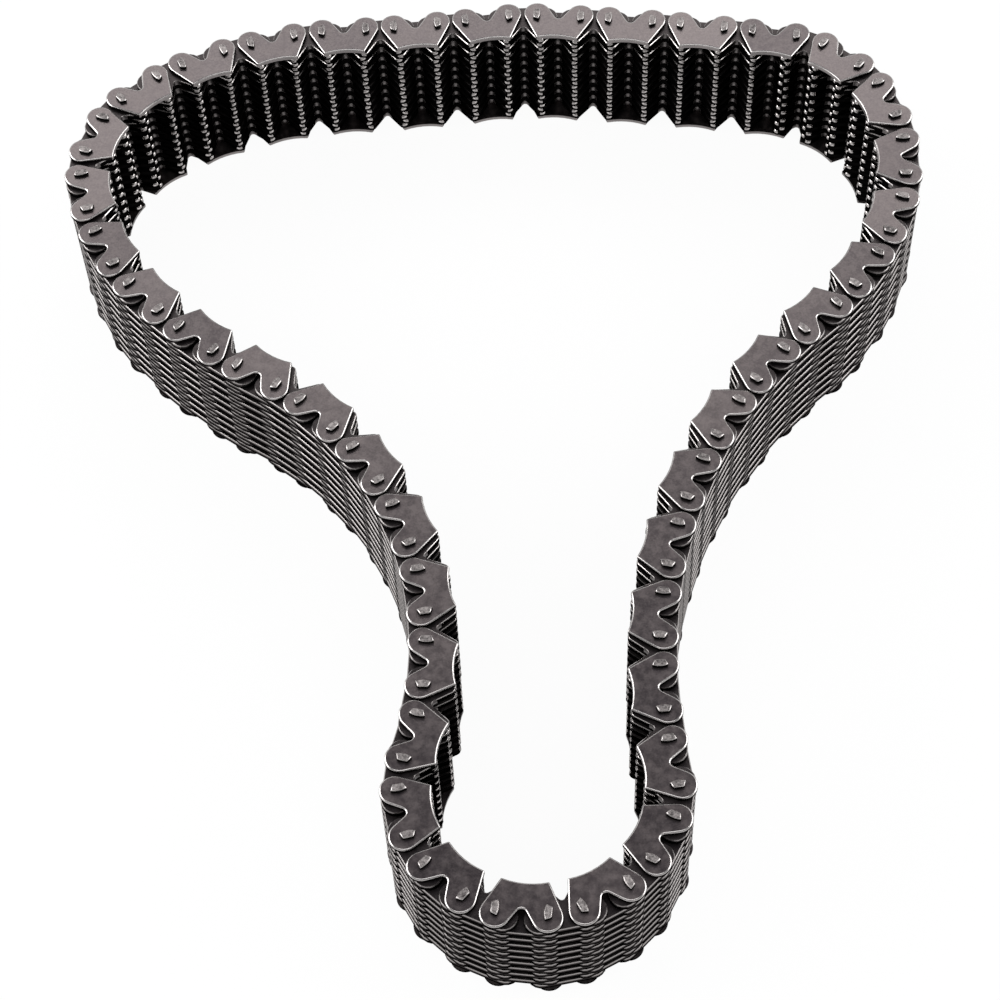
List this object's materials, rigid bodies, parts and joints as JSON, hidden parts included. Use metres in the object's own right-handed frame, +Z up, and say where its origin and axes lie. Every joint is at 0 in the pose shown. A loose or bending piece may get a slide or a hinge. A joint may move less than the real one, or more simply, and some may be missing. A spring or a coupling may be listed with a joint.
{
  "type": "silent drive chain",
  "caption": "Endless inverted-tooth drive chain of laminated steel links on rocker pins, lying on its side in a bulb-shaped loop.",
  "frame": {"origin": "centre of the loop's box in plan, on the plane that the lower pin ends rest on", "axes": "+Z up along the pins, +Y from the narrow front end to the broad back of the loop, +X to the right"},
  "size_m": [0.2194, 0.2654, 0.0359],
  "materials": {
    "guide_link_steel": "dark satin, tumbled and oiled",
    "inner_link_steel": "dark satin, shadowed between the guide plates"
  },
  "bodies": {
    "guide_link_01": {"guide_link_01": "guide_link_steel"},
    "inner_link_01": {"inner_link_01": "inner_link_steel"},
    "link_pair_01": {"link_pair_01": "guide_link_steel"},
    "guide_link_02": {"guide_link_02": "guide_link_steel"},
    "inner_link_02": {"inner_link_02": "inner_link_steel"},
    "link_pair_02": {"link_pair_02": "guide_link_steel"},
    "guide_link_03": {"guide_link_03": "guide_link_steel"},
    "inner_link_03": {"inner_link_03": "inner_link_steel"},
    "link_pair_03": {"link_pair_03": "guide_link_steel"},
    "guide_link_04": {"guide_link_04": "guide_link_steel"},
    "inner_link_04": {"inner_link_04": "inner_link_steel"},
    "link_pair_04": {"link_pair_04": "guide_link_steel"},
    "guide_link_05": {"guide_link_05": "guide_link_steel"},
    "inner_link_05": {"inner_link_05": "inner_link_steel"},
    "link_pair_05": {"link_pair_05": "guide_link_steel"},
    "guide_link_06": {"guide_link_06": "guide_link_steel"},
    "inner_link_06": {"inner_link_06": "inner_link_steel"},
    "link_pair_06": {"link_pair_06": "guide_link_steel"},
    "guide_link_07": {"guide_link_07": "guide_link_steel"},
    "inner_link_07": {"inner_link_07": "inner_link_steel"},
    "link_pair_07": {"link_pair_07": "guide_link_steel"},
    "guide_link_08": {"guide_link_08": "guide_link_steel"},
    "inner_link_08": {"inner_link_08": "inner_link_steel"},
    "link_pair_08": {"link_pair_08": "guide_link_steel"},
    "guide_link_09": {"guide_link_09": "guide_link_steel"},
    "inner_link_09": {"inner_link_09": "inner_link_steel"},
    "link_pair_09": {"link_pair_09": "guide_link_steel"},
    "guide_link_10": {"guide_link_10": "guide_link_steel"},
    "inner_link_10": {"inner_link_10": "inner_link_steel"},
    "link_pair_10": {"link_pair_10": "guide_link_steel"},
    "guide_link_11": {"guide_link_11": "guide_link_steel"},
    "inner_link_11": {"inner_link_11": "inner_link_steel"},
    "link_pair_11": {"link_pair_11": "guide_link_steel"},
    "guide_link_12": {"guide_link_12": "guide_link_steel"},
    "inner_link_12": {"inner_link_12": "inner_link_steel"},
    "link_pair_12": {"link_pair_12": "guide_link_steel"},
    "guide_link_13": {"guide_link_13": "guide_link_steel"},
    "inner_link_13": {"inner_link_13": "inner_link_steel"},
    "link_pair_13": {"link_pair_13": "guide_link_steel"},
    "guide_link_14": {"guide_link_14": "guide_link_steel"},
    "inner_link_14": {"inner_link_14": "inner_link_steel"},
    "link_pair_14": {"link_pair_14": "guide_link_steel"},
    "guide_link_15": {"guide_link_15": "guide_link_steel"},
    "inner_link_15": {"inner_link_15": "inner_link_steel"},
    "link_pair_15": {"link_pair_15": "guide_link_steel"},
    "guide_link_16": {"guide_link_16": "guide_link_steel"},
    "inner_link_16": {"inner_link_16": "inner_link_steel"},
    "link_pair_16": {"link_pair_16": "guide_link_steel"},
    "guide_link_17": {"guide_link_17": "guide_link_steel"},
    "inner_link_17": {"inner_link_17": "inner_link_steel"},
    "link_pair_17": {"link_pair_17": "guide_link_steel"},
    "guide_link_18": {"guide_link_18": "guide_link_steel"},
    "inner_link_18": {"inner_link_18": "inner_link_steel"},
    "link_pair_18": {"link_pair_18": "guide_link_steel"},
    "guide_link_19": {"guide_link_19": "guide_link_steel"},
    "inner_link_19": {"inner_link_19": "inner_link_steel"},
    "link_pair_19": {"link_pair_19": "guide_link_steel"},
    "guide_link_20": {"guide_link_20": "guide_link_steel"},
    "inner_link_20": {"inner_link_20": "inner_link_steel"},
    "link_pair_20": {"link_pair_20": "guide_link_steel"}
  },
  "joints": [
    {"name": "joint_01", "type": "hinge", "parent": "guide_link_01", "child": "inner_link_01", "pos_m": [-0.00643, -0.12671, 0.01792], "axis": [0, 0, -1], "range_deg": [-4.29, 4.29]},
    {"name": "sway", "type": "hinge", "parent": "inner_link_01", "child": "link_pair_01", "pos_m": [-0.01494, -0.12242, 0.01792], "axis": [0, 0, -1], "range_deg": [-2.26, 2.26]},
    {"name": "joint_03", "type": "hinge", "parent": "link_pair_01", "child": "guide_link_02", "pos_m": [-0.02606, -0.10725, 0.01792], "axis": [0, 0, -1], "range_deg": [-4.99, 4.99]},
    {"name": "joint_04", "type": "hinge", "parent": "guide_link_02", "child": "inner_link_02", "pos_m": [-0.02759, -0.09785, 0.01792], "axis": [0, 0, -1], "range_deg": [-2.2, 2.2]},
    {"name": "joint_05", "type": "hinge", "parent": "inner_link_02", "child": "link_pair_02", "pos_m": [-0.02615, -0.08843, 0.01792], "axis": [0, 0, -1], "range_deg": [-4.47, 4.47]},
    {"name": "joint_06", "type": "hinge", "parent": "link_pair_02", "child": "guide_link_03", "pos_m": [-0.02148, -0.06999, 0.01792], "axis": [0, 0, -1], "range_deg": [-1.41, 1.41]},
    {"name": "joint_07", "type": "hinge", "parent": "guide_link_03", "child": "inner_link_03", "pos_m": [-0.02063, -0.0605, 0.01792], "axis": [0, 0, -1], "range_deg": [-1.88, 1.88]},
    {"name": "joint_08", "type": "hinge", "parent": "inner_link_03", "child": "link_pair_03", "pos_m": [-0.0208, -0.05098, 0.01792], "axis": [0, 0, -1], "range_deg": [-0.5, 0.5]},
    {"name": "joint_09", "type": "hinge", "parent": "link_pair_03", "child": "guide_link_04", "pos_m": [-0.02415, -0.03225, 0.01792], "axis": [0, 0, -1], "range_deg": [-2.76, 2.76]},
    {"name": "joint_10", "type": "hinge", "parent": "guide_link_04", "child": "inner_link_04", "pos_m": [-0.02729, -0.02326, 0.01792], "axis": [0, 0, -1], "range_deg": [-4.14, 4.14]},
    {"name": "joint_11", "type": "hinge", "parent": "inner_link_04", "child": "link_pair_04", "pos_m": [-0.03137, -0.01466, 0.01792], "axis": [0, 0, -1], "range_deg": [-5.1, 5.1]},
    {"name": "joint_12", "type": "hinge", "parent": "link_pair_04", "child": "guide_link_05", "pos_m": [-0.04214, 0.00103, 0.01792], "axis": [0, 0, -1], "range_deg": [-1.45, 1.45]},
    {"name": "joint_13", "type": "hinge", "parent": "guide_link_05", "child": "inner_link_05", "pos_m": [-0.04871, 0.00792, 0.01792], "axis": [0, 0, -1], "range_deg": [-5.92, 5.92]},
    {"name": "joint_14", "type": "hinge", "parent": "inner_link_05", "child": "link_pair_05", "pos_m": [-0.05598, 0.01408, 0.01792], "axis": [0, 0, -1], "range_deg": [-1.23, 1.23]},
    {"name": "joint_15", "type": "hinge", "parent": "link_pair_05", "child": "guide_link_06", "pos_m": [-0.07136, 0.0253, 0.01792], "axis": [0, 0, -1], "range_deg": [-5.71, 5.71]},
    {"name": "joint_16", "type": "hinge", "parent": "guide_link_06", "child": "inner_link_06", "pos_m": [-0.07847, 0.03164, 0.01792], "axis": [0, 0, -1], "range_deg": [-0.85, 0.85]},
    {"name": "joint_17", "type": "hinge", "parent": "inner_link_06", "child": "link_pair_06", "pos_m": [-0.08515, 0.03843, 0.01792], "axis": [0, 0, -1], "range_deg": [-4.05, 4.05]},
    {"name": "joint_18", "type": "hinge", "parent": "link_pair_06", "child": "guide_link_07", "pos_m": [-0.09657, 0.05362, 0.01792], "axis": [0, 0, -1], "range_deg": [-2.01, 2.01]},
    {"name": "joint_19", "type": "hinge", "parent": "guide_link_07", "child": "inner_link_07", "pos_m": [-0.10063, 0.06224, 0.01792], "axis": [0, 0, -1], "range_deg": [-1.05, 1.05]},
    {"name": "joint_20", "type": "hinge", "parent": "inner_link_07", "child": "link_pair_07", "pos_m": [-0.1035, 0.07132, 0.01792], "axis": [0, 0, -1], "range_deg": [-0.486, 0.486]},
    {"name": "joint_21", "type": "hinge", "parent": "link_pair_07", "child": "guide_link_08", "pos_m": [-0.10417, 0.09018, 0.01792], "axis": [0, 0, -1], "range_deg": [-1.24, 1.24]},
    {"name": "joint_22", "type": "hinge", "parent": "guide_link_08", "child": "inner_link_08", "pos_m": [-0.10073, 0.09906, 0.01792], "axis": [0, 0, -1], "range_deg": [-1.44, 1.44]},
    {"name": "joint_23", "type": "hinge", "parent": "inner_link_08", "child": "link_pair_08", "pos_m": [-0.09503, 0.1067, 0.01792], "axis": [0, 0, -1], "range_deg": [-2.13, 2.13]},
    {"name": "joint_24", "type": "hinge", "parent": "link_pair_08", "child": "guide_link_09", "pos_m": [-0.0792, 0.11719, 0.01792], "axis": [0, 0, -1], "range_deg": [-0.86, 0.86]},
    {"name": "joint_25", "type": "hinge", "parent": "guide_link_09", "child": "inner_link_09", "pos_m": [-0.07029, 0.12057, 0.01792], "axis": [0, 0, -1], "range_deg": [-3.13, 3.13]},
    {"name": "joint_26", "type": "hinge", "parent": "inner_link_09", "child": "link_pair_09", "pos_m": [-0.06113, 0.12316, 0.01792], "axis": [0, 0, -1], "range_deg": [-2.42, 2.42]},
    {"name": "joint_27", "type": "hinge", "parent": "link_pair_09", "child": "guide_link_10", "pos_m": [-0.04229, 0.12591, 0.01792], "axis": [0, 0, -1], "range_deg": [-4.25, 4.25]},
    {"name": "joint_28", "type": "hinge", "parent": "guide_link_10", "child": "inner_link_10", "pos_m": [-0.03277, 0.12604, 0.01792], "axis": [0, 0, -1], "range_deg": [-2.07, 2.07]},
    {"name": "joint_29", "type": "hinge", "parent": "inner_link_10", "child": "link_pair_10", "pos_m": [-0.02325, 0.12633, 0.01792], "axis": [0, 0, -1], "range_deg": [-4.53, 4.53]},
    {"name": "squeeze", "type": "hinge", "parent": "guide_link_01", "child": "link_pair_20", "pos_m": [0.00298, -0.12816, 0.01792], "axis": [0, 0, 1], "range_deg": [-3.94, 3.94]},
    {"name": "joint_59", "type": "hinge", "parent": "link_pair_20", "child": "inner_link_20", "pos_m": [0.02093, -0.12248, 0.01792], "axis": [0, 0, 1], "range_deg": [-3.67, 3.67]},
    {"name": "joint_58", "type": "hinge", "parent": "inner_link_20", "child": "guide_link_20", "pos_m": [0.0278, -0.11588, 0.01792], "axis": [0, 0, 1], "range_deg": [-0.98, 0.98]},
    {"name": "joint_57", "type": "hinge", "parent": "guide_link_20", "child": "link_pair_19", "pos_m": [0.03236, -0.10751, 0.01792], "axis": [0, 0, 1], "range_deg": [-3.63, 3.63]},
    {"name": "joint_56", "type": "hinge", "parent": "link_pair_19", "child": "inner_link_19", "pos_m": [0.03311, -0.0887, 0.01792], "axis": [0, 0, 1], "range_deg": [-2.05, 2.05]},
    {"name": "joint_55", "type": "hinge", "parent": "inner_link_19", "child": "guide_link_19", "pos_m": [0.03253, -0.07919, 0.01792], "axis": [0, 0, 1], "range_deg": [-2.76, 2.76]},
    {"name": "joint_54", "type": "hinge", "parent": "guide_link_19", "child": "link_pair_18", "pos_m": [0.03245, -0.06967, 0.01792], "axis": [0, 0, 1], "range_deg": [-1.53, 1.53]},
    {"name": "joint_53", "type": "hinge", "parent": "link_pair_18", "child": "inner_link_18", "pos_m": [0.03437, -0.05073, 0.01792], "axis": [0, 0, 1], "range_deg": [-0.379, 0.379]},
    {"name": "joint_52", "type": "hinge", "parent": "inner_link_18", "child": "guide_link_18", "pos_m": [0.03636, -0.04142, 0.01792], "axis": [0, 0, 1], "range_deg": [-0.352, 0.352]},
    {"name": "joint_51", "type": "hinge", "parent": "guide_link_18", "child": "link_pair_17", "pos_m": [0.03903, -0.03227, 0.01792], "axis": [0, 0, 1], "range_deg": [-2.85, 2.85]},
    {"name": "joint_50", "type": "hinge", "parent": "link_pair_17", "child": "inner_link_17", "pos_m": [0.04632, -0.01469, 0.01792], "axis": [0, 0, 1], "range_deg": [-4.67, 4.67]},
    {"name": "joint_49", "type": "hinge", "parent": "inner_link_17", "child": "guide_link_17", "pos_m": [0.05091, -0.00634, 0.01792], "axis": [0, 0, 1], "range_deg": [-5.05, 5.05]},
    {"name": "joint_48", "type": "hinge", "parent": "guide_link_17", "child": "link_pair_16", "pos_m": [0.05609, 0.00165, 0.01792], "axis": [0, 0, 1], "range_deg": [-5.04, 5.04]},
    {"name": "joint_47", "type": "hinge", "parent": "link_pair_16", "child": "inner_link_16", "pos_m": [0.06814, 0.01639, 0.01792], "axis": [0, 0, 1], "range_deg": [-4.43, 4.43]},
    {"name": "joint_46", "type": "hinge", "parent": "inner_link_16", "child": "guide_link_16", "pos_m": [0.07494, 0.02306, 0.01792], "axis": [0, 0, 1], "range_deg": [-0.235, 0.235]},
    {"name": "joint_45", "type": "hinge", "parent": "guide_link_16", "child": "link_pair_15", "pos_m": [0.0822, 0.02922, 0.01792], "axis": [0, 0, 1], "range_deg": [-3.25, 3.25]},
    {"name": "joint_44", "type": "hinge", "parent": "link_pair_15", "child": "inner_link_15", "pos_m": [0.09432, 0.04388, 0.01792], "axis": [0, 0, 1], "range_deg": [-1.76, 1.76]},
    {"name": "joint_43", "type": "hinge", "parent": "inner_link_15", "child": "guide_link_15", "pos_m": [0.09901, 0.05217, 0.01792], "axis": [0, 0, 1], "range_deg": [-1.05, 1.05]},
    {"name": "joint_42", "type": "hinge", "parent": "guide_link_15", "child": "link_pair_14", "pos_m": [0.10268, 0.06096, 0.01792], "axis": [0, 0, 1], "range_deg": [-0.427, 0.427]},
    {"name": "joint_41", "type": "hinge", "parent": "link_pair_14", "child": "inner_link_14", "pos_m": [0.10523, 0.07976, 0.01792], "axis": [0, 0, 1], "range_deg": [-0.54, 0.54]},
    {"name": "joint_40", "type": "hinge", "parent": "inner_link_14", "child": "guide_link_14", "pos_m": [0.10402, 0.08921, 0.01792], "axis": [0, 0, 1], "range_deg": [-0.96, 0.96]},
    {"name": "joint_39", "type": "hinge", "parent": "guide_link_14", "child": "link_pair_13", "pos_m": [0.10119, 0.09831, 0.01792], "axis": [0, 0, 1], "range_deg": [-1.42, 1.42]},
    {"name": "joint_38", "type": "hinge", "parent": "link_pair_13", "child": "inner_link_13", "pos_m": [0.08902, 0.11274, 0.01792], "axis": [0, 0, 1], "range_deg": [-0.454, 0.454]},
    {"name": "joint_37", "type": "hinge", "parent": "inner_link_13", "child": "guide_link_13", "pos_m": [0.08053, 0.11706, 0.01792], "axis": [0, 0, 1], "range_deg": [-2.24, 2.24]},
    {"name": "joint_36", "type": "hinge", "parent": "guide_link_13", "child": "link_pair_12", "pos_m": [0.0712, 0.11899, 0.01792], "axis": [0, 0, 1], "range_deg": [-2.35, 2.35]},
    {"name": "joint_35", "type": "hinge", "parent": "link_pair_12", "child": "inner_link_12", "pos_m": [0.05248, 0.12249, 0.01792], "axis": [0, 0, 1], "range_deg": [-2.75, 2.75]},
    {"name": "joint_34", "type": "hinge", "parent": "inner_link_12", "child": "guide_link_12", "pos_m": [0.04308, 0.12406, 0.01792], "axis": [0, 0, 1], "range_deg": [-1.06, 1.06]},
    {"name": "joint_33", "type": "hinge", "parent": "guide_link_12", "child": "link_pair_11", "pos_m": [0.03367, 0.1255, 0.01792], "axis": [0, 0, 1], "range_deg": [-3.32, 3.32]},
    {"name": "joint_32", "type": "hinge", "parent": "link_pair_11", "child": "inner_link_11", "pos_m": [0.01478, 0.12802, 0.01792], "axis": [0, 0, 1], "range_deg": [-2.11, 2.11]},
    {"name": "joint_31", "type": "hinge", "parent": "inner_link_11", "child": "guide_link_11", "pos_m": [0.00526, 0.12822, 0.01792], "axis": [0, 0, 1], "range_deg": [-4.17, 4.17]}
  ],
  "couplings": [
    {"joint": "joint_01", "follows": "squeeze", "ratio": 1.0881},
    {"joint": "joint_03", "follows": "squeeze", "ratio": 1.2653},
    {"joint": "joint_04", "follows": "sway", "ratio": 0.97459},
    {"joint": "joint_05", "follows": "squeeze", "ratio": 1.1348},
    {"joint": "joint_06", "follows": "sway", "ratio": 0.62364},
    {"joint": "joint_07", "follows": "squeeze", "ratio": 0.4778},
    {"joint": "joint_08", "follows": "sway", "ratio": 0.22048},
    {"joint": "joint_09", "follows": "squeeze", "ratio": -0.69951},
    {"joint": "joint_10", "follows": "squeeze", "ratio": -1.0496},
    {"joint": "joint_11", "follows": "squeeze", "ratio": -1.2935},
    {"joint": "joint_12", "follows": "sway", "ratio": -0.64141},
    {"joint": "joint_13", "follows": "squeeze", "ratio": -1.5016},
    {"joint": "joint_14", "follows": "sway", "ratio": -0.54432},
    {"joint": "joint_15", "follows": "squeeze", "ratio": -1.4489},
    {"joint": "joint_16", "follows": "sway", "ratio": -0.37772},
    {"joint": "joint_17", "follows": "squeeze", "ratio": -1.0271},
    {"joint": "joint_18", "follows": "squeeze", "ratio": -0.51078},
    {"joint": "joint_19", "follows": "squeeze", "ratio": -0.26566},
    {"joint": "joint_20", "follows": "sway", "ratio": 0.21436},
    {"joint": "joint_21", "follows": "squeeze", "ratio": 0.31511},
    {"joint": "joint_22", "follows": "sway", "ratio": 0.6353},
    {"joint": "joint_23", "follows": "squeeze", "ratio": 0.54152},
    {"joint": "joint_24", "follows": "sway", "ratio": -0.38214},
    {"joint": "joint_25", "follows": "squeeze", "ratio": 0.79489},
    {"joint": "joint_26", "follows": "sway", "ratio": -1.0703},
    {"joint": "joint_27", "follows": "squeeze", "ratio": 1.0773},
    {"joint": "joint_28", "follows": "sway", "ratio": -0.91374},
    {"joint": "joint_29", "follows": "squeeze", "ratio": 1.1481},
    {"joint": "joint_59", "follows": "squeeze", "ratio": 0.93212},
    {"joint": "joint_58", "follows": "sway", "ratio": -0.43302},
    {"joint": "joint_57", "follows": "squeeze", "ratio": 0.92201},
    {"joint": "joint_56", "follows": "sway", "ratio": -0.90502},
    {"joint": "joint_55", "follows": "squeeze", "ratio": 0.69995},
    {"joint": "joint_54", "follows": "sway", "ratio": -0.67627},
    {"joint": "joint_53", "follows": "squeeze", "ratio": -0.095915},
    {"joint": "joint_52", "follows": "sway", "ratio": -0.15495},
    {"joint": "joint_51", "follows": "squeeze", "ratio": -0.72176},
    {"joint": "joint_50", "follows": "squeeze", "ratio": -1.1837},
    {"joint": "joint_49", "follows": "squeeze", "ratio": -1.2819},
    {"joint": "joint_48", "follows": "squeeze", "ratio": -1.28},
    {"joint": "joint_47", "follows": "squeeze", "ratio": -1.1251},
    {"joint": "joint_46", "follows": "sway", "ratio": -0.10335},
    {"joint": "joint_45", "follows": "squeeze", "ratio": -0.8231},
    {"joint": "joint_44", "follows": "squeeze", "ratio": -0.44639},
    {"joint": "joint_43", "follows": "squeeze", "ratio": -0.2673},
    {"joint": "joint_42", "follows": "squeeze", "ratio": -0.10801},
    {"joint": "joint_41", "follows": "squeeze", "ratio": 0.13564},
    {"joint": "joint_40", "follows": "squeeze", "ratio": 0.2435},
    {"joint": "joint_39", "follows": "squeeze", "ratio": 0.35996},
    {"joint": "joint_38", "follows": "sway", "ratio": -0.2002},
    {"joint": "joint_37", "follows": "squeeze", "ratio": 0.56751},
    {"joint": "joint_36", "follows": "squeeze", "ratio": 0.597},
    {"joint": "joint_35", "follows": "squeeze", "ratio": 0.69817},
    {"joint": "joint_34", "follows": "sway", "ratio": 0.46693},
    {"joint": "joint_33", "follows": "squeeze", "ratio": 0.8425},
    {"joint": "joint_32", "follows": "sway", "ratio": 0.93208},
    {"joint": "joint_31", "follows": "squeeze", "ratio": 1.0567}
  ]
}
